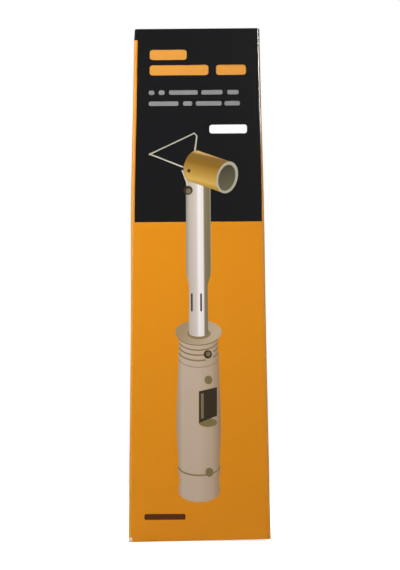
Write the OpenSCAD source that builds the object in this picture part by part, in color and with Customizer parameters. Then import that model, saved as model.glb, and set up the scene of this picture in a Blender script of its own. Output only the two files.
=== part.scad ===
// Straight tuck-end carton of printed folding board, standing closed on its base.
// One blank makes the sleeve, its glued seam and its four dust flaps. A lid hinges on
// the back panel at each end, and its tongue slides in behind the front panel.
// Millimetres, +Z up, front panel towards -Y, origin under the middle of the base.

/* [Carton] */
// Outside width, across the front panel
carton_w = 70; // [50:1:110]
// Outside depth, across the side panels
carton_d = 50; // [40:1:90]
// Outside height
carton_h = 275; // [120:1:380]

/* [Board] */
// Thickness of the board
board_t = 1; // [0.5:0.1:1.4]
// Inside radius of every fold
fold_r = 0.4; // [0.2:0.1:0.8]

/* [Glued seam] */
// Width of the glue flap, from the side panel's face
seam_w = 15; // [8:1:20]
// How much the glue flap's ends slant over its width
seam_slant = 4; // [1:0.5:8]
// The back panel's cut edge, in from the side panel's face
seam_edge = 0.3; // [0:0.1:0.6]

/* [Dust flaps] */
// Gap between the tips of a pair
dust_gap = 12; // [6:1:20]
// Straight root of a flap, before its edges taper
dust_shoulder = 8; // [3:1:10]
// Taper of the edge beside the lid's crease
dust_taper_back = 3; // [1:0.5:6]
// Taper of the edge beside the tongue
dust_taper_front = 7; // [1:0.5:10]
// Radius of the flap's corners
dust_corner = 5; // [1:0.5:6]

/* [Lids] */
// Length of the tongue, over its fold
tongue_l = 15; // [10:1:18]
// How much narrower the tongue is at each side of its tip
tongue_taper = 1.5; // [0.5:0.5:3]
// Radius of the tongue's corners
tongue_corner = 8; // [3:1:8]
// Length of the locking slit at each end of the tongue's fold
slit_l = 7; // [4:0.5:10]
// Width of the locking slit
slit_w = 0.8; // [0.4:0.1:1.5]
// Radius of the lid's front corners
lid_corner = 1; // [0.5:0.1:1.2]

/* [Clearances] */
// The lid's side edges, in from the side panels' faces
lid_inset = 0.5; // [0.2:0.1:1]
// Between the lid's front edge and the front panel
front_gap = 0.3; // [0.2:0.1:0.8]
// Between a lid and the dust flaps that it closes on
rest_gap = 0.15; // [0.1:0.05:0.5]
// Between the tongue and each side panel
tongue_gap = 0.8; // [0.4:0.1:1.5]
// Between a dust flap's edges and the walls beside it
dust_clear = 1; // [0.5:0.1:2]
// Across the crease that a lid turns on
crease_gap = 0.2; // [0.1:0.05:0.4]

/* [Hidden] */
$fn = 64;
arc_steps = 10;                                    // flats in an arc drawn by its points
over = 1;                                          // how far a cutter runs past what it cuts

bend_r = fold_r + board_t;                         // outside radius of every fold
crease_in = bend_r * (1 - cos(45));                // crease line, in from the two outer faces
bend_z = crease_in - bend_r;                       // centre of a lid's bends, below its crease

// The lid swings on its crease inside the front panel. Its tongue lies along a chord
// of that swing, so that its tip comes out past the front panel's edge.
reach = carton_d - crease_in - board_t - front_gap;
lean = asin(tongue_l / 2 / reach);
bend_x = reach - (bend_r - bend_z * sin(lean)) / cos(lean);
tongue_plate = tongue_l / 2 + bend_x * sin(lean) + bend_z * cos(lean);
tongue_w = carton_w - 2 * (board_t + tongue_gap);
tongue_root = tongue_w - 2 * slit_l;
lid_w = carton_w - 2 * lid_inset;

// The dust flaps lie just under the lid and end short of its tongue and the seam.
dust_z = carton_h - board_t - rest_gap;
dust_depth = 2 * board_t + rest_gap - crease_in;
dust_reach = reach - dust_depth * tan(lean) - board_t / cos(lean) - dust_clear;
dust_front = carton_d / 2 - crease_in - dust_reach;
dust_back = carton_d / 2 - 2 * board_t - dust_clear;

// The side panels end where their dust flaps' folds start.
side_top = dust_z - bend_r;
side_low = carton_h - side_top;

function unit(v) = v / norm(v);

// Points of an arc from one angle to another
function arc(centre, r, from, to) =
    [for (i = [0 : arc_steps]) centre + r * [cos(from + (to - from) * i / arc_steps),
                                             sin(from + (to - from) * i / arc_steps)]];

// Points of a tangent arc of radius r at corner p, between neighbours a and b
function corner_arc(a, p, b, r) =
    let (
        u = unit(a - p),
        v = unit(b - p),
        half = acos(u * v) / 2,
        centre = p + unit(u + v) * r / sin(half),
        start = p + u * r / tan(half) - centre,
        from = atan2(start[1], start[0]),
        side = sign(u[0] * v[1] - u[1] * v[0])
    )
    arc(centre, r, from, from - side * (180 - 2 * half));

// An outline of [point, corner radius] pairs, with every corner that has a radius rounded
function rounded(outline) =
    let (n = len(outline))
    [for (i = [0 : n - 1])
        let (
            p = outline[i][0],
            r = outline[i][1],
            a = outline[(i + n - 1) % n][0],
            b = outline[(i + 1) % n][0]
        )
        each (r == 0 ? [p] : corner_arc(a, p, b, r))];

// The board bent through an angle from +X, around +Z, for a length of fold
module bend(turn, length) {
    rotate_extrude(angle = turn)
        translate([fold_r, 0])
            square([board_t, length]);
}

// Half of a right-angled bend, as far as the crease that splits it
module half_bend(length) {
    difference() {
        bend(45, length);
        rotate([0, 0, 45])
            translate([0, -crease_gap / 2, -over])
                cube([bend_r + over, crease_gap, length + 2 * over]);
    }
}

module both_sides() {
    children();
    mirror([1, 0, 0]) children();
}

module both_ends() {
    children();
    translate([0, 0, carton_h]) mirror([0, 0, 1]) children();
}

// Front panel with its cut edges at both ends, and its folds into the side panels
module front_panel() {
    translate([bend_r - carton_w / 2, -carton_d / 2, 0])
        cube([carton_w - 2 * bend_r, board_t, carton_h]);
    both_sides()
        translate([carton_w / 2 - bend_r, bend_r - carton_d / 2, 0])
            rotate([0, 0, -90])
                bend(90, carton_h);
}

// Right side panel from the front fold to a back fold that ends at back_y
module side_panel(back_y) {
    front_y = bend_r - carton_d / 2;
    translate([carton_w / 2 - board_t, front_y, side_low])
        cube([board_t, back_y - bend_r - front_y, side_top - side_low]);
    translate([carton_w / 2 - bend_r, back_y - bend_r, side_low])
        bend(90, side_top - side_low);
    // Cut edge beside the dust flap's fold
    both_ends()
        translate([carton_w / 2 - board_t, front_y, side_top])
            cube([board_t, dust_front - slit_w - front_y, dust_z - fold_r - side_top]);
}

// Back panel between the two creases that the lids turn on
module back_panel() {
    panel_x = seam_edge - carton_w / 2;
    panel_w = carton_w - bend_r - seam_edge;
    translate([panel_x, carton_d / 2 - board_t, bend_r])
        cube([panel_w, board_t, carton_h - 2 * bend_r]);
    both_ends()
        translate([panel_x, carton_d / 2 - bend_r, carton_h - bend_r])
            rotate([90, 0, 90])
                half_bend(panel_w);
}

// Glue flap, folded in from the left side panel and stuck inside the back panel
module glue_flap() {
    translate([0, carton_d / 2 - board_t, 0])
        rotate([90, 0, 0])
            linear_extrude(board_t)
                polygon([
                    [bend_r - carton_w / 2, side_low],
                    [seam_w - carton_w / 2, side_low + seam_slant],
                    [seam_w - carton_w / 2, side_top - seam_slant],
                    [bend_r - carton_w / 2, side_top]
                ]);
}

// Upper right dust flap, folded in from the side panel
module dust_flap() {
    root_x = carton_w / 2 - bend_r;
    tip_x = dust_gap / 2;
    translate([root_x, dust_back, side_top])
        rotate([90, 0, 0])
            bend(90, dust_back - dust_front);
    translate([0, 0, dust_z - board_t])
        linear_extrude(board_t)
            polygon(rounded([
                [[root_x, dust_front], 0],
                [[root_x, dust_back], 0],
                [[root_x - dust_shoulder, dust_back], 0],
                [[tip_x, dust_back - dust_taper_back], dust_corner],
                [[tip_x, dust_front + dust_taper_front], dust_corner],
                [[root_x - dust_shoulder, dust_front], 0]
            ]));
}

module carton_body() {
    color("#d98a28") {
        front_panel();
        side_panel(carton_d / 2);
        mirror([1, 0, 0]) side_panel(carton_d / 2 - board_t);
        back_panel();
        glue_flap();
        both_ends() both_sides() dust_flap();
    }
}

// Side view of the tongue and its fold, past the tongue's tip
function tongue_profile() =
    let (
        centre = [bend_x, bend_z],
        out = [cos(lean), -sin(lean)],
        down = [-sin(lean), -cos(lean)] * (tongue_plate + over)
    )
    concat(
        arc(centre, bend_r, 90, -lean),
        [centre + bend_r * out + down, centre + fold_r * out + down],
        arc(centre, fold_r, -lean, 90)
    );

// Outline of the tongue in its own plane, X down its length from the end of its fold
module tongue_outline() {
    root = tongue_root / 2;
    side = tongue_w / 2;
    above = -bend_r - over;
    polygon(rounded([
        [[above, -root], 0],
        [[slit_w, -root], 0],
        [[slit_w, -side], 0],
        [[tongue_plate, tongue_taper - side], tongue_corner],
        [[tongue_plate, side - tongue_taper], tongue_corner],
        [[slit_w, side], 0],
        [[slit_w, root], 0],
        [[above, root], 0]
    ]));
}

// Tongue with its fold: its side view, cut to its outline
module tongue() {
    intersection() {
        translate([0, tongue_w / 2, 0])
            rotate([90, 0, 0])
                linear_extrude(tongue_w)
                    polygon(tongue_profile());
        translate([bend_x, 0, bend_z])
            rotate([0, 90 + lean, 0])
                translate([0, 0, -over])
                    linear_extrude(bend_r + 2 * over)
                        tongue_outline();
    }
}

// Lid with its crease along Y at the origin, its front towards +X and its outside up
module lid() {
    slit_y = tongue_root / 2 + slit_w;
    lip_x = bend_x + bend_r;
    // Panel, with a short lip past the slit at each end of the tongue's fold
    translate([0, 0, crease_in - board_t])
        linear_extrude(board_t)
            polygon(rounded([
                [[-bend_z, -lid_w / 2], 0],
                [[lip_x, -lid_w / 2], lid_corner],
                [[lip_x, -slit_y], 0],
                [[bend_x, -slit_y], 0],
                [[bend_x, slit_y], 0],
                [[lip_x, slit_y], 0],
                [[lip_x, lid_w / 2], lid_corner],
                [[-bend_z, lid_w / 2], 0]
            ]));
    // Half of the bend at the crease
    translate([-bend_z, lid_w / 2, bend_z])
        rotate([90, 0, 0])
            rotate([0, 0, 90])
                half_bend(lid_w);
    tongue();
}

module closed_lid() {
    translate([0, carton_d / 2 - crease_in, carton_h - crease_in])
        rotate([0, 0, -90])
            lid();
}

module top_lid() {
    color("#232325") closed_lid();
}

module bottom_lid() {
    color("#d98a28")
        translate([0, 0, carton_h])
            mirror([0, 0, 1])
                closed_lid();
}

carton_body();
top_lid();
bottom_lid();
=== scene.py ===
import math
import bmesh
import bpy
from mathutils import Matrix, Vector


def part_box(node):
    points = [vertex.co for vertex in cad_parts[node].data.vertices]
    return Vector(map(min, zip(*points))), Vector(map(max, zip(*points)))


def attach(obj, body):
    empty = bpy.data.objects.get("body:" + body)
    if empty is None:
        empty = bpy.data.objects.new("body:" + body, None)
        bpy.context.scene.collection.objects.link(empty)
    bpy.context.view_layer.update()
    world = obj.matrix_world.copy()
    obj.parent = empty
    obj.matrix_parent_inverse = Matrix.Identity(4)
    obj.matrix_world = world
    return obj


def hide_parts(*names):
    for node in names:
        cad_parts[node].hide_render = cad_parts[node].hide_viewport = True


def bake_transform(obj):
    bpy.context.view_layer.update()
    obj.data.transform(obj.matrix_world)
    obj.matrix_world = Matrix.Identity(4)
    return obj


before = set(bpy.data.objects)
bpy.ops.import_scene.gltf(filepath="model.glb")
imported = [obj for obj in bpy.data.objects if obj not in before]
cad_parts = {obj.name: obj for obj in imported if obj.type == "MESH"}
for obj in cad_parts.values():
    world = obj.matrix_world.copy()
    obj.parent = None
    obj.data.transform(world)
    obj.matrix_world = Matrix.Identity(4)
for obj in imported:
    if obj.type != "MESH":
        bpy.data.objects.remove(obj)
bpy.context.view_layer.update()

# Settings are in millimetres and degrees, in the carton's own frame, unless a note says otherwise.
mm = 0.001
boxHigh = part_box("carton_body")[1] / mm
halfWidth = boxHigh.x
halfDepth = boxHigh.y
height = boxHigh.z
frontY = -halfDepth
board = {
    "thickness": 1.0,
    "foldOut": 1.4,  # outside radius of every fold
    "foldSteps": 6,
    "sharpAngle": 35,  # degrees between faces, over which an edge is shaded sharp
}
slack = 0.01  # how near two places are the same one
flatX = halfWidth - board["foldOut"]  # where the front panel's folds start
foldY = frontY + board["foldOut"]
print("frame loaded: carton", round(2 * halfWidth), round(2 * halfDepth), round(height), "mm")


def hexToLinear(hexColour):
    channels = [int(hexColour[i:i + 2], 16) / 255 for i in (1, 3, 5)]
    linear = [c / 12.92 if c <= 0.04045 else ((c + 0.055) / 1.055) ** 2.4 for c in channels]
    return (*linear, 1.0)


# Adds one node; an input's value is a number, a vector, a colour or another node's output.
def addNode(tree, kind, inputs=None, stops=None, **settings):
    node = tree.nodes.new(kind)
    for key, value in settings.items():
        setattr(node, key, value)
    for key, value in (inputs or {}).items():
        if isinstance(value, bpy.types.NodeSocket):
            tree.links.new(value, node.inputs[key])
        else:
            node.inputs[key].default_value = value
    for i, (place, colour) in enumerate(stops or []):
        element = node.color_ramp.elements[i] if i < 2 else node.color_ramp.elements.new(place)
        element.position = place
        element.color = hexToLinear(colour)
    return node


def newMaterial(name):
    material = bpy.data.materials.new(name)
    material.use_nodes = True
    material.node_tree.nodes.clear()
    return material, material.node_tree


laminate = {
    "roughness": 0.17,
    "peelSize": 1.1,  # the film's orange peel
    "peelHeight": 0.0025,
    "peelDetail": 2.0,
    "swellSize": 26,  # slow unevenness of the board under the film
    "swellHeight": 0.02,
    "swellDetail": 1.0,
}


# Folding boxboard, offset printed and laminated with a clear gloss film: an even, strong
# colour under one soft-edged reflection, which ripples where the board isn't quite flat.
# The colour is a hex value, or a function that adds the nodes that make it.
def laminated(name, colour):
    material, tree = newMaterial(name)
    place = addNode(tree, "ShaderNodeTexCoord").outputs["Object"]
    swell = addNode(
        tree,
        "ShaderNodeTexNoise",
        {
            "Vector": place,
            "Scale": 1 / (laminate["swellSize"] * mm),
            "Detail": laminate["swellDetail"],
        },
    )
    peel = addNode(
        tree,
        "ShaderNodeTexNoise",
        {
            "Vector": place,
            "Scale": 1 / (laminate["peelSize"] * mm),
            "Detail": laminate["peelDetail"],
        },
    )
    slowBump = addNode(
        tree,
        "ShaderNodeBump",
        {"Height": swell.outputs["Fac"], "Distance": laminate["swellHeight"] * mm, "Strength": 1.0},
    )
    fineBump = addNode(
        tree,
        "ShaderNodeBump",
        {
            "Height": peel.outputs["Fac"],
            "Distance": laminate["peelHeight"] * mm,
            "Strength": 1.0,
            "Normal": slowBump.outputs["Normal"],
        },
    )
    base = colour(tree, place) if callable(colour) else hexToLinear(colour)
    shader = addNode(
        tree,
        "ShaderNodeBsdfPrincipled",
        {
            "Base Color": base,
            "Roughness": laminate["roughness"],
            "Normal": fineBump.outputs["Normal"],
        },
    )
    addNode(tree, "ShaderNodeOutputMaterial", {"Surface": shader.outputs["BSDF"]})
    return material


pulp = {
    "roughness": 0.85,
    "fibreSize": 0.4,
    "fibreHeight": 0.02,
    "fibreDetail": 3.0,
}


# Uncoated folding boxboard, on the carton's inside and its cut edges: matt, dull and a
# little fibrous, with no reflection.
def rawBoard(name, colour):
    material, tree = newMaterial(name)
    place = addNode(tree, "ShaderNodeTexCoord").outputs["Object"]
    fibre = addNode(
        tree,
        "ShaderNodeTexNoise",
        {
            "Vector": place,
            "Scale": 1 / (pulp["fibreSize"] * mm),
            "Detail": pulp["fibreDetail"],
        },
    )
    bump = addNode(
        tree,
        "ShaderNodeBump",
        {"Height": fibre.outputs["Fac"], "Distance": pulp["fibreHeight"] * mm, "Strength": 1.0},
    )
    shader = addNode(
        tree,
        "ShaderNodeBsdfPrincipled",
        {
            "Base Color": hexToLinear(colour),
            "Roughness": pulp["roughness"],
            "Normal": bump.outputs["Normal"],
        },
    )
    addNode(tree, "ShaderNodeOutputMaterial", {"Surface": shader.outputs["BSDF"]})
    return material


inks = {
    "orange": "#DA8913",
    "black": "#111113",
    "inside": "#C9C6BE",
    "cutEdge": "#B9B1A2",
    "title": "#D8943C",
    "caption": "#868686",
    "rating": "#F4F4F4",
    "number": "#552C0E",
}
# A painted highlight along the front folds, partly rub wear, and real wear at the knocked corner.
foldSheenAndWear = {
    "fold": "#C9995C",  # painted highlight and rub wear: the print is painted paler along the front folds
    "foldAmount": 0.5,
    "foldBefore": 0.1,  # the paling starts this far before the fold
    "foldAfter": 0.8,  # and is full this far into it
    "patch": 9,  # the paling comes and goes in patches of this size
    "patchFloor": 0.4,
    "patchDetail": 3.0,
    "bare": "#EFE3CF",  # board that shows at a knocked corner
    "knock": (-33.8, -24.9, 1.3),
    "knockSize": 1.2,
}


# Orange ink, painted paler along the front folds as a painted highlight with some rub wear, and gone
# where the corner is knocked.
def sheenAndWornOrange(tree, place):
    axes = addNode(tree, "ShaderNodeSeparateXYZ", {"Vector": place})
    out = addNode(tree, "ShaderNodeMath", {0: axes.outputs["X"]}, operation="ABSOLUTE")
    nearSide = addNode(
        tree,
        "ShaderNodeMapRange",
        {
            "Value": out.outputs["Value"],
            "From Min": (flatX - foldSheenAndWear["foldBefore"]) * mm,
            "From Max": (flatX + foldSheenAndWear["foldAfter"]) * mm,
        },
        interpolation_type="SMOOTHSTEP",
    )
    nearFront = addNode(
        tree,
        "ShaderNodeMapRange",
        {
            "Value": axes.outputs["Y"],
            "From Min": (foldY + foldSheenAndWear["foldBefore"]) * mm,
            "From Max": (foldY - foldSheenAndWear["foldAfter"]) * mm,
        },
        interpolation_type="SMOOTHSTEP",
    )
    patches = addNode(
        tree,
        "ShaderNodeTexNoise",
        {
            "Vector": place,
            "Scale": 1 / (foldSheenAndWear["patch"] * mm),
            "Detail": foldSheenAndWear["patchDetail"],
        },
    )
    patchy = addNode(
        tree,
        "ShaderNodeMath",
        {0: patches.outputs["Fac"], 1: foldSheenAndWear["patchFloor"]},
        operation="ADD",
    )
    # How strong the painted fold highlight is: paler near the folds, patchy, and at most the set
    # amount.
    amount = nearSide.outputs["Result"]
    for factor in (nearFront.outputs["Result"], patchy.outputs["Value"], foldSheenAndWear["foldAmount"]):
        sheenAndRub = addNode(tree, "ShaderNodeMath", {0: amount, 1: factor}, operation="MULTIPLY")
        amount = sheenAndRub.outputs["Value"]
    paled = addNode(
        tree,
        "ShaderNodeMix",
        {0: amount, 6: hexToLinear(inks["orange"]), 7: hexToLinear(foldSheenAndWear["fold"])},
        data_type="RGBA",
    )
    away = addNode(
        tree,
        "ShaderNodeVectorMath",
        {0: place, 1: Vector(foldSheenAndWear["knock"]) * mm},
        operation="DISTANCE",
    )
    knocked = addNode(
        tree,
        "ShaderNodeMapRange",
        {
            "Value": away.outputs["Value"],
            "From Min": foldSheenAndWear["knockSize"] * mm,
            "From Max": foldSheenAndWear["knockSize"] / 2 * mm,
        },
        interpolation_type="SMOOTHSTEP",
    )
    worn = addNode(
        tree,
        "ShaderNodeMix",
        {0: knocked.outputs["Result"], 6: paled.outputs[2], 7: hexToLinear(foldSheenAndWear["bare"])},
        data_type="RGBA",
    )
    return worn.outputs[2]


orangeBoard = laminated("orange laminated print", sheenAndWornOrange)
blackBoard = laminated("black laminated print", inks["black"])
insideBoard = rawBoard("unprinted board inside", inks["inside"])
cutEdge = rawBoard("cut board edge", inks["cutEdge"])
# A face's inside is two places after its outside in this list, and its cut edge four.
boardMaterials = [orangeBoard, blackBoard, insideBoard, insideBoard, cutEdge, cutEdge]
print("board materials made")


# True where both ends of an edge pass a test of their place.
def isAt(edge, test):
    return all(test(vert.co) for vert in edge.verts)


def rimEdges(bm, test):
    return [edge for edge in bm.edges if edge.is_boundary and isAt(edge, test)]


# Extrudes a run of edges by a move and returns the new run.
def carryOn(bm, edges, move):
    made = bmesh.ops.extrude_edge_only(bm, edges=edges)["geom"]
    verts = [part for part in made if isinstance(part, bmesh.types.BMVert)]
    bmesh.ops.translate(bm, verts=verts, vec=move)
    fresh = set(verts)
    return [edge for edge in bm.edges if edge.verts[0] in fresh and edge.verts[1] in fresh]


# Folds a run of edges round an axis and returns the new run.
def foldOn(bm, edges, centre, axis, angle, steps):
    geometry = edges + list({vert for edge in edges for vert in edge.verts})
    made = bmesh.ops.spin(
        bm,
        geom=geometry,
        cent=centre,
        axis=axis,
        angle=math.radians(angle),
        steps=steps,
    )["geom_last"]
    return [part for part in made if isinstance(part, bmesh.types.BMEdge)]


# Cuts faces along a plane and keeps both sides.
def cutAt(bm, faces, point, normal):
    parts = set(faces)
    for face in faces:
        parts.update(face.edges)
        parts.update(face.verts)
    bmesh.ops.bisect_plane(bm, geom=list(parts), dist=1e-5, plane_co=point, plane_no=normal)


# Rounds the corner of a flat rim with a tangent arc.
def roundCorner(bm, vert, radius, steps):
    rims = [edge for edge in vert.link_edges if edge.is_boundary]
    arms = [(edge.other_vert(vert).co - vert.co).normalized() for edge in rims]
    offset = radius / math.tan(arms[0].angle(arms[1]) / 2)
    bmesh.ops.bevel(
        bm,
        geom=[vert],
        offset=offset,
        offset_type="OFFSET",
        segments=steps,
        profile=0.5,
        affect="VERTICES",
        material=-1,
    )


# Turns millimetres to metres and closes the bmesh.
def toMesh(bm, name):
    bmesh.ops.scale(bm, verts=bm.verts, vec=(mm, mm, mm))
    mesh = bpy.data.meshes.new(name)
    bm.to_mesh(mesh)
    bm.free()
    return mesh


def addObject(name, mesh, materials):
    piece = bpy.data.objects.new(name, mesh)
    for material in materials:
        mesh.materials.append(material)
    bpy.context.collection.objects.link(piece)
    return piece


# Gives an outer sheet the board's thickness, inwards, and shades it smooth over the folds.
def makeBoard(bm, name):
    piece = addObject(name, toMesh(bm, name), boardMaterials)
    solidify = piece.modifiers.new("thickness", "SOLIDIFY")
    solidify.thickness = board["thickness"] * mm
    solidify.offset = -1
    solidify.use_even_offset = True
    solidify.material_offset = 2
    solidify.material_offset_rim = 4
    graph = bpy.context.evaluated_depsgraph_get()
    solid = bpy.data.meshes.new_from_object(piece.evaluated_get(graph))
    piece.modifiers.clear()
    piece.data = solid
    solid.name = name
    solid.shade_smooth()
    solid.set_sharp_from_angle(angle=math.radians(board["sharpAngle"]))
    return piece


sleeve = {
    "sideEnd": 2.55,  # side panels stop this far from the ends, where the dust flaps fold
    "earRise": 1.0,  # a side panel's cut edge between its front fold and its dust flap
    "earBack": -22.214,
    "dustFront": -21.414,
    "dustBack": 22.0,
    "dustShoulder": 8,
    "dustTip": 6,
    "dustTaperBack": 3,
    "dustTaperFront": 7,
    "dustCorner": 5,
    "dustCornerSteps": 6,
    "seamFlap": 15,
    "seamSlant": 4,
    "seamEdge": 0.3,
    "bandLow": 268.3,  # black band round the top
    "fieldLow": 163.1,  # black field on the front
    "fieldLeft": -32.9,
    "fieldRightHigh": (34.7, 268),
    "fieldRightLow": (33.7, 163),
    "edgeRise": 1.1,
    "edgeRiseFrom": -20,
    "bowFrom": 30,  # the front panel is flat as far out as this
    "bowStep": 6,
    "bowLow": 60,
    "bowLeft": 0.7,
    "bowRight": 0.39,
    "bowCentre": 176,
    "bowReach": 44,
    "pinchLeft": 0.45,  # the upper left corner is pressed in a little
    "pinchReach": 6,
}
sideLow = sleeve["sideEnd"]
sideTop = height - sleeve["sideEnd"]


# The field's right edge runs a little off square.
def fieldRight(z):
    (x0, z0), (x1, z1) = sleeve["fieldRightLow"], sleeve["fieldRightHigh"]
    return x0 + (x1 - x0) * (z - z0) / (z1 - z0)


# How far the carton's sides bow out: fully on the side panels, fading over the front.
def bowAt(x, z):
    reach = min(max((abs(x) - sleeve["bowFrom"]) / (flatX - sleeve["bowFrom"]), 0), 1)
    size = sleeve["bowLeft"] if x < 0 else sleeve["bowRight"]
    swell = size * math.exp(-((z - sleeve["bowCentre"]) / sleeve["bowReach"]) ** 2)
    if x < 0:
        swell -= sleeve["pinchLeft"] * math.exp((z - height) / sleeve["pinchReach"])
    return math.copysign(reach * reach * (3 - 2 * reach), x) * swell


# The front panel's lower cut edge rises a little towards its right end.
def edgeRise(x, y, z):
    if y > foldY + board["thickness"] or z > sideLow:
        return 0
    along = (x - sleeve["edgeRiseFrom"]) / (halfWidth - sleeve["edgeRiseFrom"])
    return sleeve["edgeRise"] * max(along, 0) ** 2 * (1 - z / sideLow)


# Side is 1 for the right panel, and end is 1 for the top.
def buildDustFlap(bm, side, end):
    rootZ = sideTop if end > 0 else sideLow
    front, back = sleeve["dustFront"], sleeve["dustBack"]
    root = rimEdges(
        bm,
        lambda co: abs(co.z - rootZ) < slack
        and co.x * side > flatX
        and front - slack < co.y < back + slack,
    )
    folded = foldOn(
        bm,
        root,
        (side * flatX, 0, rootZ),
        (0, -side * end, 0),
        90,
        board["foldSteps"],
    )
    shoulder = carryOn(bm, folded, (-side * sleeve["dustShoulder"], 0, 0))
    run = flatX - sleeve["dustShoulder"] - sleeve["dustTip"]
    tip = carryOn(bm, shoulder, (-side * run, 0, 0))
    corners = {vert for edge in tip for vert in edge.verts}
    tipBack = max(corners, key=lambda vert: vert.co.y)
    tipFront = min(corners, key=lambda vert: vert.co.y)
    tipBack.co.y -= sleeve["dustTaperBack"]
    tipFront.co.y += sleeve["dustTaperFront"]
    roundCorner(bm, tipBack, sleeve["dustCorner"], sleeve["dustCornerSteps"])
    # The bevel renews the vertices, so the other corner is looked up again.
    corners = [
        vert
        for vert in bm.verts
        if abs(vert.co.x - side * sleeve["dustTip"]) < slack
        and (vert.co.z - height / 2) * end > 0
    ]
    tipFront = min(corners, key=lambda vert: vert.co.y)
    roundCorner(bm, tipFront, sleeve["dustCorner"], sleeve["dustCornerSteps"])


# The blank's outside, from the glue flap round to the back panel's cut edge.
def buildSleeve():
    bm = bmesh.new()
    seamY = halfDepth - board["thickness"]
    plan = [
        (sleeve["seamFlap"] - halfWidth, seamY),
        (-halfWidth, seamY),
        (-halfWidth, frontY),
        (halfWidth, frontY),
        (halfWidth, halfDepth),
        (sleeve["seamEdge"] - halfWidth, halfDepth),
    ]
    verts = [bm.verts.new((x, y, sideLow)) for x, y in plan]
    path = [bm.edges.new(pair) for pair in zip(verts, verts[1:])]
    carryOn(bm, path, (0, 0, sideTop - sideLow))
    folds = [edge for edge in bm.edges if not edge.is_boundary]
    bmesh.ops.bevel(
        bm,
        geom=folds,
        offset=board["foldOut"],
        offset_type="OFFSET",
        segments=board["foldSteps"],
        profile=0.5,
        affect="EDGES",
        material=-1,
    )
    for vert in bm.verts:
        if abs(vert.co.x - plan[0][0]) < slack and abs(vert.co.y - seamY) < slack:
            vert.co.z += math.copysign(sleeve["seamSlant"], height / 2 - vert.co.z)
    for y in (sleeve["earBack"], sleeve["dustFront"], sleeve["dustBack"]):
        cutAt(bm, bm.faces[:], (0, y, 0), (0, 1, 0))
    for end, z in ((1, sideTop), (-1, sideLow)):
        ears = rimEdges(bm, lambda co: abs(co.z - z) < slack and co.y < sleeve["earBack"] + slack)
        raised = carryOn(bm, ears, (0, 0, end * sleeve["earRise"]))
        front = [edge for edge in raised if isAt(edge, lambda co: co.y < foldY + slack)]
        carryOn(bm, front, (0, 0, end * (sleeve["sideEnd"] - sleeve["earRise"])))
        for side in (1, -1):
            buildDustFlap(bm, side, end)

    levels = range(sleeve["bowLow"], int(sideTop), sleeve["bowStep"])
    for z in [sleeve["bandLow"], sleeve["fieldLow"], *levels]:
        cutAt(bm, bm.faces[:], (0, 0, z), (0, 0, 1))
    front = [face for face in bm.faces if face.calc_center_median().y < foldY]
    cutAt(bm, front, (sleeve["fieldLeft"], 0, 0), (1, 0, 0))
    (x0, z0), (x1, z1) = sleeve["fieldRightLow"], sleeve["fieldRightHigh"]
    front = [face for face in bm.faces if face.calc_center_median().y < foldY]
    cutAt(bm, front, (x0, 0, z0), (z1 - z0, 0, x0 - x1))
    for face in bm.faces:
        centre = face.calc_center_median()
        onField = (
            centre.y < foldY
            and centre.z > sleeve["fieldLow"]
            and sleeve["fieldLeft"] < centre.x < fieldRight(centre.z)
        )
        face.material_index = 1 if centre.z > sleeve["bandLow"] or onField else 0
    return bm


sleeveSheet = buildSleeve()
bmesh.ops.recalc_face_normals(sleeveSheet, faces=sleeveSheet.faces)
cartonPiece = makeBoard(sleeveSheet, "printed_carton")
for vert in cartonPiece.data.vertices:
    vert.co.z += edgeRise(*(vert.co / mm)) * mm
    vert.co.x += bowAt(vert.co.x / mm, vert.co.z / mm) * mm
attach(cartonPiece, "carton")
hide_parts("carton_body")
print("carton sleeve built:", len(cartonPiece.data.polygons), "faces")

lid = {
    "halfWidth": 34.5,
    "stripLeft": -34.7,  # the strip of back panel that the lid's crease grows from
    "creaseSteps": 12,
    "creaseRun": 1.1,
    "frontBend": -22.127,  # the tongue's fold starts here
    "lean": 8.93,  # the tongue leans back by this much
    "bendSteps": 8,
    "slitRoot": 26.2,
    "slitWidth": 0.8,
    "lipCorner": 1.0,
    "lipCornerSteps": 4,
    "tongueHalf": 33.2,
    "tongueTaper": 1.5,
    "tongueDrop": 13.778,
    "tongueCorner": 8,
    "tongueCornerSteps": 8,
    "riseReach": 1,  # the lower lid's front rises with the front panel as far back as this
}


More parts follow.
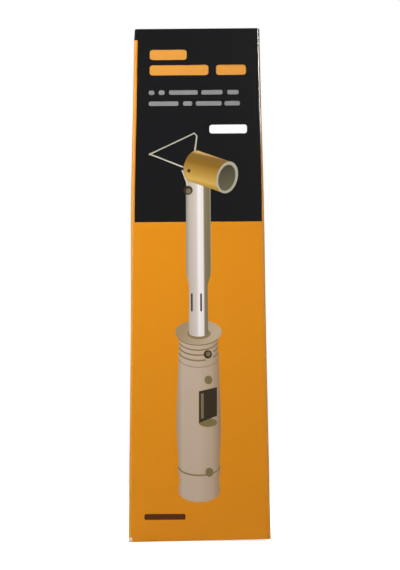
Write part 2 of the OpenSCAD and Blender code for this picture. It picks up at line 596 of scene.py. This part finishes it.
# A lid with its crease, slits and tongue: end is 1 for the top, -1 for the bottom.
def buildLid(end):
    bm = bmesh.new()
    radius = board["foldOut"]
    bendZ = height - radius
    left = bm.verts.new((lid["stripLeft"], halfDepth, sideTop))
    right = bm.verts.new((flatX, halfDepth, sideTop))
    run = carryOn(bm, [bm.edges.new((left, right))], (0, 0, bendZ - sideTop))
    run = foldOn(bm, run, (0, halfDepth - radius, bendZ), (1, 0, 0), 90, lid["creaseSteps"])
    run = carryOn(bm, run, (0, -lid["creaseRun"], 0))
    creaseZ = height - radius * (1 - math.sqrt(0.5))
    for vert in bm.verts:
        if vert.co.z > creaseZ + slack:
            vert.co.x = math.copysign(lid["halfWidth"], vert.co.x)
    panelEnd = halfDepth - radius - lid["creaseRun"]
    carryOn(bm, run, (0, lid["frontBend"] - panelEnd, 0))
    root, lip = lid["slitRoot"], lid["slitRoot"] + lid["slitWidth"]
    for x in (-lip, -root, root, lip):
        cutAt(bm, bm.faces[:], (x, 0, 0), (1, 0, 0))
    frontRim = rimEdges(bm, lambda co: abs(co.y - lid["frontBend"]) < slack)
    rootRim = [edge for edge in frontRim if isAt(edge, lambda co: abs(co.x) < root + slack)]
    lipRim = [edge for edge in frontRim if isAt(edge, lambda co: abs(co.x) > lip - slack)]
    lipEdges = carryOn(bm, lipRim, (0, -radius, 0))
    corners = {vert for edge in lipEdges for vert in edge.verts}
    for vert in [vert for vert in corners if abs(vert.co.x) > lid["halfWidth"] - slack]:
        roundCorner(bm, vert, lid["lipCorner"], lid["lipCornerSteps"])
    bendCentre = Vector((0, lid["frontBend"], bendZ))
    run = foldOn(bm, rootRim, bendCentre, (1, 0, 0), 90 + lid["lean"], lid["bendSteps"])
    lean = math.radians(lid["lean"])
    down = Vector((0, math.sin(lean), -math.cos(lean)))
    run = carryOn(bm, run, down * lid["slitWidth"])
    rootLeft, rootRight = sorted({v for e in run for v in e.verts}, key=lambda vert: vert.co.x)
    start = rootLeft.co - Vector((rootLeft.co.x, 0, 0))
    tip = start + down * (lid["tongueDrop"] - lid["slitWidth"])
    half, tipHalf = lid["tongueHalf"], lid["tongueHalf"] - lid["tongueTaper"]
    rim = [
        bm.verts.new(start + Vector((-half, 0, 0))),
        bm.verts.new(tip + Vector((-tipHalf, 0, 0))),
        bm.verts.new(tip + Vector((tipHalf, 0, 0))),
        bm.verts.new(start + Vector((half, 0, 0))),
    ]
    ring = [rootLeft, *rim, rootRight]
    edges = run + [bm.edges.new(pair) for pair in zip(ring, ring[1:])]
    bmesh.ops.contextual_create(bm, geom=edges)
    for vert in rim[1:3]:
        roundCorner(bm, vert, lid["tongueCorner"], lid["tongueCornerSteps"])
    bmesh.ops.recalc_face_normals(bm, faces=bm.faces)
    panel = max(bm.faces, key=lambda face: face.calc_area() * (abs(face.normal.z) > 0.9))
    if panel.normal.z < 0:
        bmesh.ops.reverse_faces(bm, faces=bm.faces)
    if end < 0:
        bmesh.ops.scale(bm, verts=bm.verts, vec=(1, 1, -1))
        bmesh.ops.translate(bm, verts=bm.verts, vec=(0, 0, height))
        bmesh.ops.reverse_faces(bm, faces=bm.faces)
    for face in bm.faces:
        face.material_index = 1 if end > 0 else 0
    return bm


topPiece = makeBoard(buildLid(1), "printed_top_lid")
bottomPiece = makeBoard(buildLid(-1), "printed_bottom_lid")
for vert in bottomPiece.data.vertices:
    x, y, z = vert.co / mm
    if y < lid["frontBend"] + lid["riseReach"] and z < sideLow:
        vert.co.z += edgeRise(x, frontY, z) * mm
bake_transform(topPiece)
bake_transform(bottomPiece)
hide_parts("top_lid")
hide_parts("bottom_lid")
print("lids built")

# Each print is a closed film that starts inside the board. Its layer says how many lifts
# it stands over the board, and shapes of one piece that cross lie in different layers.
film = {
    "root": 0.02,  # how far a print starts inside the board
    "lift": 0.012,  # how much each layer stands over the one that it covers
    "circleSteps": 48,
    "arcSteps": 20,
    "cornerSteps": 4,
}


# Gives a flat shape its layer's height over the front panel and adds it to a print.
def addLayer(target, shape, layer):
    made = bmesh.ops.extrude_face_region(shape, geom=shape.faces[:], use_keep_orig=True)["geom"]
    verts = [part for part in made if isinstance(part, bmesh.types.BMVert)]
    bmesh.ops.translate(shape, verts=verts, vec=(0, -film["root"] - film["lift"] * layer, 0))
    bmesh.ops.recalc_face_normals(shape, faces=shape.faces)
    carrier = bpy.data.meshes.new("layer")
    shape.to_mesh(carrier)
    shape.free()
    target.from_mesh(carrier)
    bpy.data.meshes.remove(carrier)


def addShape(target, layer, points, rounding=0.0):
    shape = bmesh.new()
    verts = [shape.verts.new((x, frontY + film["root"], z)) for x, z in points]
    ring = [shape.edges.new(pair) for pair in zip(verts, verts[1:] + verts[:1])]
    bmesh.ops.contextual_create(shape, geom=ring)
    if rounding:
        bmesh.ops.bevel(
            shape,
            geom=verts,
            offset=rounding,
            offset_type="OFFSET",
            segments=film["cornerSteps"],
            profile=0.5,
            affect="VERTICES",
            material=-1,
        )
    addLayer(target, shape, layer)


def addBar(target, layer, low, high, rounding=0.0):
    (x0, z0), (x1, z1) = low, high
    addShape(target, layer, [(x0, z0), (x1, z0), (x1, z1), (x0, z1)], rounding)


def addOval(target, layer, centre, radii, tilt=0.0):
    shape = bmesh.new()
    place = Matrix.Translation((centre[0], frontY + film["root"], centre[1]))
    lean = Matrix.Rotation(math.radians(tilt), 4, "Y")
    stretch = Matrix.Diagonal((radii[0], 1, radii[1], 1))
    upright = Matrix.Rotation(math.radians(90), 4, "X")
    bmesh.ops.create_circle(
        shape,
        cap_ends=True,
        segments=film["circleSteps"],
        radius=1,
        matrix=place @ lean @ stretch @ upright,
    )
    addLayer(target, shape, layer)


# A line of even width along an oval, from one angle to another.
def addArc(target, layer, centre, radii, angles, width):
    steps = film["arcSteps"]
    swing = angles[1] - angles[0]
    turns = [math.radians(angles[0] + swing * i / steps) for i in range(steps + 1)]
    outer, inner = (
        [
            (centre[0] + (radii[0] + part) * math.cos(t), centre[1] + (radii[1] + part) * math.sin(t))
            for t in turns
        ]
        for part in (width / 2, -width / 2)
    )
    addShape(target, layer, outer + inner[::-1])


def addLine(target, layer, start, end, width):
    first, last = Vector(start), Vector(end)
    along = (last - first).normalized() * width / 2
    across = Vector((-along.y, along.x))
    corners = [first - across, last - across, last + across, first + across]
    addShape(target, layer, [tuple(corner) for corner in corners])


# A colour that changes along a line on the front panel.
def ramp(start, end, stops):
    def colour(tree, place):
        origin = Vector((start[0], 0, start[1])) * mm
        run = (Vector((end[0], 0, end[1])) - Vector((start[0], 0, start[1]))) * mm
        local = addNode(
            tree,
            "ShaderNodeVectorMath",
            {0: place, 1: origin},
            operation="SUBTRACT",
        )
        along = addNode(
            tree,
            "ShaderNodeVectorMath",
            {0: local.outputs["Vector"], 1: run / run.length_squared},
            operation="DOT_PRODUCT",
        )
        blend = addNode(
            tree,
            "ShaderNodeValToRGB",
            {"Fac": along.outputs["Value"]},
            stops=stops,
        )
        return blend.outputs["Color"]
    return colour


def addPrint(name, draw, colour):
    bm = bmesh.new()
    draw(bm)
    piece = addObject(name, toMesh(bm, name), [laminated(name + " ink", colour)])
    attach(piece, "carton")


# Words are left as plain bars, one to a word. Each bar is its lower left and upper right
# corners, and a row of the caption is its heights and where its words start and end.
words = {
    "title": [
        ((-26.0, 256.2), (-5.6, 262.2)),
        ((-26.0, 247.0), (6.4, 253.0)),
        ((10.6, 247.0), (27.0, 253.0)),
    ],
    "titleRounding": 1.6,
    "captionRows": [
        ((235.5, 238.1), [(-26.4, -23.4), (-21.0, -17.8), (-15.4, 0.4), (2.4, 14.0), (16.6, 22.8)]),
        ((229.0, 231.6), [(-26.4, -10.2), (-7.6, -2.6), (-0.6, 13.4), (15.0, 23.4)]),
    ],
    "captionRounding": 0.9,
    "rating": [((6.6, 212.8), (27.0, 217.8))],
    "ratingRounding": 1.4,
    "number": [((-27.2, 10.5), (-6.8, 13.3))],
    "numberRounding": 0.8,
}


def drawBars(bars, rounding):
    def draw(bm):
        for low, high in bars:
            addBar(bm, 1, low, high, rounding)
    return draw


captionBars = [
    ((x0, z0), (x1, z1))
    for (z0, z1), spans in words["captionRows"]
    for x0, x1 in spans
]
drawTitle = drawBars(words["title"], words["titleRounding"])
drawCaption = drawBars(captionBars, words["captionRounding"])
drawRating = drawBars(words["rating"], words["ratingRounding"])
drawNumber = drawBars(words["number"], words["numberRounding"])
addPrint("title_bars", drawTitle, inks["title"])
addPrint("caption_bars", drawCaption, inks["caption"])
addPrint("rating_bar", drawRating, inks["rating"])
addPrint("number_bar", drawNumber, inks["number"])
print("word bars printed")

# The pictured tool, from its wire and cup down to its grip. An oval is its centre and its
# two radii, and inkRun is the line along which the colour runs.
wire = {
    "width": 0.75,
    "left": (-25.6, 201.2),
    "apex": (-1.6, 213.0),
    "bend": (-0.2, 211.4),
    "top": (-1.3, 203.0),
    "bottom": (-7.4, 193.6),
    "leftKnee": 0.55,
    "apexKnee": 0.4,
    "tail": ((-8.2, 192.0), (-5.2, 183.6)),
    "tailWidth": 0.8,
    "inkRun": ((-20, 212), (-12, 196)),
    "ink": [(0, "#8E8872"), (1, "#C9C2B6")],
}


def drawWire(bm):
    addLine(bm, 1, wire["left"], wire["apex"], wire["width"])
    addLine(bm, 2, wire["apex"], wire["bend"], wire["width"])
    addLine(bm, 1, wire["bend"], wire["top"], wire["width"])
    addLine(bm, 2, wire["left"], wire["bottom"], wire["width"])
    addOval(bm, 3, wire["left"], (wire["leftKnee"], wire["leftKnee"]))
    for knee in (wire["apex"], wire["bend"]):
        addOval(bm, 3, knee, (wire["apexKnee"], wire["apexKnee"]))
    addLine(bm, 5, *wire["tail"], wire["tailWidth"])


cup = {
    "back": (-1.7, 194.2),
    "front": (15.9, 187.7),
    "radii": (5.5, 9.0),
    "tilt": 14.5,
    "rim": (5.6, 9.1),
    "bore": ((15.7, 187.5), (4.4, 7.5)),
    "inkRun": ((8.6, 200.0), (4.2, 182.6)),
    "ink": [
        (0.0, "#C9A566"),
        (0.07, "#80602A"),
        (0.32, "#86621F"),
        (0.6, "#AD8437"),
        (0.86, "#C9A350"),
        (1.0, "#A9812F"),
    ],
    "rimInk": "#A9A491",
    "boreInkRun": ((14, 194), (17, 182)),
    "boreInk": [(0, "#453F30"), (1, "#5F5945")],
}


def drawCup(bm):
    back, front = Vector(cup["back"]), Vector(cup["front"])
    lean = math.radians(cup["tilt"])
    rise = Vector((math.sin(lean), math.cos(lean))) * cup["radii"][1]
    addOval(bm, 5, cup["back"], cup["radii"], cup["tilt"])
    sides = [back + rise, back - rise, front - rise, front + rise]
    addShape(bm, 6, [tuple(corner) for corner in sides])


def drawRim(bm):
    addOval(bm, 7, cup["front"], cup["rim"], cup["tilt"])


def drawBore(bm):
    addOval(bm, 8, *cup["bore"], cup["tilt"])


shaft = {
    "outline": [
        (-6.2, 186.5), (-6.2, 135.8), (-4.8, 128.5), (-4.8, 103.5),
        (5.0, 103.5), (5.0, 128.5), (6.9, 135.8), (6.9, 186.5),
    ],
    "foot": ((-4.8, 103.5), (5.0, 112)),
    "footEnd": ((0.1, 103.6), (4.9, 2.0)),
    "inkRun": ((-6.2, 0), (6.9, 0)),
    "ink": [
        (0.0, "#93897D"),
        (0.12, "#B5A99C"),
        (0.42, "#CFC4BC"),
        (0.5, "#ECE4E4"),
        (0.68, "#E4DBD8"),
        (0.74, "#7F7559"),
        (0.94, "#72684A"),
        (1.0, "#9A907A"),
    ],
}


def drawShaft(bm):
    addShape(bm, 2, shaft["outline"])
    addBar(bm, 8, *shaft["foot"])
    addOval(bm, 9, *shaft["footEnd"])


grip = {
    "outline": [
        (-10.3, 94), (-10.4, 84), (-11.1, 66), (-11.2, 54), (-10.2, 37), (-10.6, 34.5),
        (-9.6, 30), (-10.3, 24), (10.3, 24), (9.8, 30), (10.6, 35), (10.2, 38),
        (11.1, 54), (11.0, 66), (10.5, 84), (10.4, 94),
    ],
    "base": ((0, 24.2), (10.3, 5.3)),
    "neck": ((-10.0, 92), (10.0, 103)),
    "inkRun": ((-11, 0), (11, 0)),
    "ink": [
        (0.0, "#A3917F"),
        (0.12, "#BBA895"),
        (0.5, "#BDA893"),
        (0.8, "#B39D86"),
        (1.0, "#94795B"),
    ],
}


def drawGrip(bm):
    addShape(bm, 3, grip["outline"])
    addOval(bm, 4, *grip["base"])
    addBar(bm, 4, *grip["neck"])


flange = {
    "disc": ((0, 104.0), (12, 6.3)),
    "inkRun": ((-8, 106), (8, 99)),
    "ink": [(0, "#9C8866"), (0.5, "#AF9C7E"), (1, "#B7A58C")],
}


def drawFlange(bm):
    addOval(bm, 6, *flange["disc"])


# Rings round the grip: the height of each, its radii, its two angles and its width.
gripShade = {
    "rings": [
        (102.4, (10.8, 5.2), (200, 340), 0.6),
        (99.8, (10.2, 5.2), (196, 344), 0.75),
        (97.2, (10.2, 5.2), (192, 286), 0.85),
        (97.2, (10.2, 5.2), (318, 346), 0.85),
        (94.4, (10.2, 5.2), (192, 292), 0.85),
        (94.4, (10.2, 5.2), (318, 346), 0.85),
        (90.6, (10.2, 4.8), (188, 352), 0.35),
        (36.2, (10.3, 4.4), (182, 358), 0.9),
    ],
    "seat": ((0.3, 103.2), (6.0, 3.0)),
    "ink": "#8A7553",
}


def drawGripShade(bm):
    for ringZ, radii, angles, width in gripShade["rings"]:
        addArc(bm, 5, (0, ringZ), radii, angles, width)
    addOval(bm, 7, *gripShade["seat"])


# Screw heads and the dial on the grip.
sockets = {
    "screws": [((5.0, 79.3), (2.0, 2.2)), ((5.1, 33.3), (2.0, 2.2))],
    "dial": ((4.6, 57.8), (4.6, 2.2)),
    "ink": "#7A6B45",
}


def drawSockets(bm):
    for centre, radii in sockets["screws"]:
        addOval(bm, 6, centre, radii)
    addOval(bm, 5, *sockets["dial"])


# The rocker switch, the holes and the slots in the shaft.
dark = {
    "switch": [(0.1, 73.5), (9.3, 75.6), (9.2, 61.2), (0, 57.6)],
    "cupHole": ((-4.6, 191.6), (0.9, 1.0)),
    "shaftHole": ((-5.0, 180.6), (2.4, 2.5)),
    "neckHole": ((4.8, 92.4), (2.1, 2.2)),
    "slotCentres": (-3.3, 1.5),
    "slotHalf": 0.45,
    "slotEnds": (114.8, 124.4),
    "slotRounding": 0.4,
    "ink": "#372D1F",
}


def drawDark(bm):
    addShape(bm, 6, dark["switch"])
    addOval(bm, 8, *dark["cupHole"])
    addOval(bm, 7, *dark["shaftHole"])
    addOval(bm, 7, *dark["neckHole"])
    low, high = dark["slotEnds"]
    half = dark["slotHalf"]
    for x in dark["slotCentres"]:
        addBar(bm, 3, (x - half, low), (x + half, high), dark["slotRounding"])


# What stands in the two larger holes, and the glint along the rocker.
bright = {
    "screws": [((-4.8, 180.2), (1.4, 1.5)), ((5.0, 92.6), (1.2, 1.3))],
    "glint": [(1.1, 72.2), (2.5, 72.6), (2.5, 60.2), (1.1, 59.6)],
    "ink": "#75684A",
}


def drawBright(bm):
    for centre, radii in bright["screws"]:
        addOval(bm, 8, centre, radii)
    addShape(bm, 7, bright["glint"])


prints = [
    ("picture_wire", drawWire, ramp(*wire["inkRun"], wire["ink"])),
    ("picture_shaft", drawShaft, ramp(*shaft["inkRun"], shaft["ink"])),
    ("picture_grip", drawGrip, ramp(*grip["inkRun"], grip["ink"])),
    ("picture_flange", drawFlange, ramp(*flange["inkRun"], flange["ink"])),
    ("picture_grip_shade", drawGripShade, gripShade["ink"]),
    ("picture_sockets", drawSockets, sockets["ink"]),
    ("picture_cup", drawCup, ramp(*cup["inkRun"], cup["ink"])),
    ("picture_rim", drawRim, cup["rimInk"]),
    ("picture_bore", drawBore, ramp(*cup["boreInkRun"], cup["boreInk"])),
    ("picture_dark", drawDark, dark["ink"]),
    ("picture_bright", drawBright, bright["ink"]),
]
for name, draw, colour in prints:
    addPrint(name, draw, colour)
print("picture printed:", len(prints), "inks")

stage = {
    "floorSize": 6000,
    "floorNear": 0.8,  # what the floor gives the camera beside the carton
    "floorFar": 1.1,
    "nearReach": 100,
    "farReach": 900,
    "paper": "#D8D8D8",
    "glow": 0.15,  # what the surroundings give to everything but the camera
}


# A sweep of matt white paper, which looks white to the camera and keeps a faint shadow.
def buildFloor():
    bm = bmesh.new()
    bmesh.ops.create_grid(bm, x_segments=1, y_segments=1, size=stage["floorSize"] / 2)
    material, tree = newMaterial("white sweep")
    ray = addNode(tree, "ShaderNodeLightPath").outputs["Is Camera Ray"]
    place = addNode(tree, "ShaderNodeTexCoord").outputs["Object"]
    far = addNode(tree, "ShaderNodeVectorMath", {0: place}, operation="LENGTH").outputs["Value"]
    glow = addNode(
        tree,
        "ShaderNodeMapRange",
        {
            "Value": far,
            "From Min": stage["nearReach"] * mm,
            "From Max": stage["farReach"] * mm,
            "To Min": stage["floorNear"],
            "To Max": stage["floorFar"],
        },
    )
    seen = addNode(tree, "ShaderNodeMath", {0: glow.outputs["Result"], 1: ray}, operation="MULTIPLY")
    light = addNode(tree, "ShaderNodeEmission", {"Strength": seen.outputs["Value"]})
    paper = addNode(tree, "ShaderNodeBsdfDiffuse", {"Color": hexToLinear(stage["paper"])})
    both = addNode(
        tree,
        "ShaderNodeAddShader",
        {0: light.outputs["Emission"], 1: paper.outputs["BSDF"]},
    )
    addNode(tree, "ShaderNodeOutputMaterial", {"Surface": both.outputs["Shader"]})
    floor = addObject("floor", toMesh(bm, "floor"), [material])
    floor.visible_glossy = False


# The surroundings are white to the camera and dim to everything else.
def buildWorld():
    world = bpy.data.worlds.new("white studio")
    bpy.context.scene.world = world
    world.use_nodes = True
    tree = world.node_tree
    tree.nodes.clear()
    ray = addNode(tree, "ShaderNodeLightPath").outputs["Is Camera Ray"]
    level = addNode(
        tree,
        "ShaderNodeMapRange",
        {"Value": ray, "To Min": stage["glow"], "To Max": 1.0},
    )
    glow = addNode(
        tree,
        "ShaderNodeBackground",
        {"Color": hexToLinear("#FFFFFF"), "Strength": level.outputs["Result"]},
    )
    addNode(tree, "ShaderNodeOutputWorld", {"Surface": glow.outputs["Background"]})


# Power is in watts, and spread is how wide a lamp throws its light. The first three only
# light the carton, and the strip is only seen in the gloss of the right fold.
lamps = {
    "key_softbox": {
        "place": (-380, -470, 480),
        "aim": (-45, 0, 215),
        "size": (300, 300),
        "power": 0.88,
        "spread": 62,
        "inGloss": False,
    },
    "side_fill": {
        "place": (480, 30, 220),
        "aim": (0, 0, 140),
        "size": (260, 380),
        "power": 1.3,
        "spread": 180,
        "inGloss": False,
    },
    "back_fill": {
        "place": (-260, 700, 520),
        "aim": (0, 0, 140),
        "size": (500, 500),
        "power": 6,
        "spread": 180,
        "inGloss": False,
    },
    "right_strip": {
        "place": (420, -470, 620),
        "aim": (30, 0, 250),
        "size": (36, 280),
        "power": 9,
        "spread": 180,
        "inGloss": True,
    },
}


def addLamp(name, settings):
    data = bpy.data.lights.new(name, "AREA")
    data.spread = math.radians(settings["spread"])
    data.shape = "RECTANGLE"
    data.size, data.size_y = (length * mm for length in settings["size"])
    data.energy = settings["power"]
    lamp = bpy.data.objects.new(name, data)
    lamp.location = Vector(settings["place"]) * mm
    toward = Vector(settings["aim"]) * mm - lamp.location
    lamp.rotation_euler = toward.to_track_quat("-Z", "Y").to_euler()
    lamp.visible_glossy = settings["inGloss"]
    lamp.visible_diffuse = not settings["inGloss"]
    bpy.context.collection.objects.link(lamp)


buildFloor()
buildWorld()
for name, settings in lamps.items():
    addLamp(name, settings)
print("stage built")

# Lens and sensor are in millimetres of the real camera, turn in degrees.
cameraFit = {
    "place": (3.24, -470.95, 31.97),
    "turn": (102.253, 0.35, 0.365),
    "lens": 55.26,
    "sensor": 36,
    "clipStart": 10,
}
cameraData = bpy.data.cameras.new("camera")
cameraData.lens = cameraFit["lens"]
cameraData.sensor_width = cameraFit["sensor"]
cameraData.clip_start = cameraFit["clipStart"] * mm
camera = bpy.data.objects.new("camera", cameraData)
camera.location = Vector(cameraFit["place"]) * mm
camera.rotation_euler = [math.radians(angle) for angle in cameraFit["turn"]]
bpy.context.collection.objects.link(camera)
bpy.context.scene.camera = camera
bpy.context.scene.view_settings.view_transform = "Standard"
print("camera placed")
